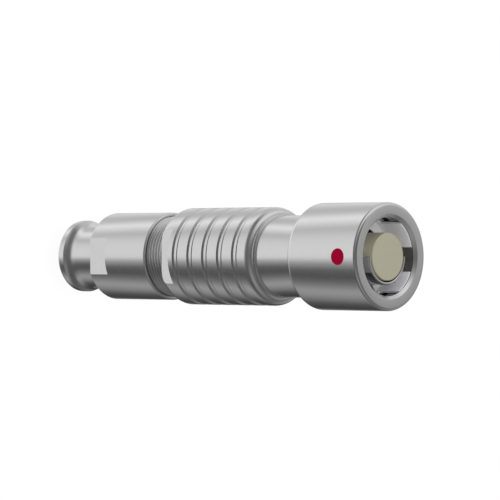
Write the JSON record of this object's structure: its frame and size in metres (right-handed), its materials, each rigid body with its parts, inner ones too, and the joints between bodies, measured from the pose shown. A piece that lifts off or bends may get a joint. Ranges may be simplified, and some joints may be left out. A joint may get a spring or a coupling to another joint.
{
  "type": "push pull circular connector socket",
  "caption": "Turned metal push-pull circular cable socket with grooved grip, mouth collar, solid insert in a half sleeve, and a screwed back nut with a flared tail.",
  "frame": {"origin": "centre of the rear face of the flared rim on the back nut's tail", "axes": "+Z along the connector's axis, from the cable end towards the mouth; -Y towards the red alignment mark"},
  "size_m": [0.014, 0.014, 0.0567],
  "materials": {
    "shell_chrome": "satin chrome plating over turned brass",
    "mark_enamel": "gloss crimson enamel",
    "insulator_plastic": "machined beige engineering plastic",
    "crown_bronze": "nickel plated spring bronze",
    "contact_gold": "gold plated",
    "carrier_brass": "nickel plated turned brass"
  },
  "bodies": {
    "socket": {"front_shell": "shell_chrome", "alignment_mark": "mark_enamel", "earthing_crown": "crown_bronze", "insulator": "insulator_plastic", "rear_insulator": "insulator_plastic", "guide_half_sleeve": "shell_chrome", "insert_carrier_near": "carrier_brass", "insert_carrier_far": "carrier_brass", "clamp_ring": "carrier_brass", "contact_1": "contact_gold", "contact_2": "contact_gold", "contact_3": "contact_gold", "contact_4": "contact_gold", "contact_5": "contact_gold", "contact_6": "contact_gold", "contact_7": "contact_gold", "contact_8": "contact_gold", "contact_9": "contact_gold"},
    "collet": {"collet": "carrier_brass"},
    "back_nut": {"back_nut": "shell_chrome"}
  },
  "joints": [
    {"name": "collet_slide", "type": "slide", "parent": "socket", "child": "collet", "axis": [0, 0, 1], "range_m": [-0.0034, 0.00265]},
    {"name": "nut_turn", "type": "hinge", "parent": "collet", "child": "back_nut", "pos_m": [0, 0, 0], "axis": [0, 0, 1], "range_deg": [-2448, 1908]}
  ],
  "couplings": [
    {"joint": "nut_turn", "follows": "collet_slide", "rad_per_m": 12566}
  ]
}
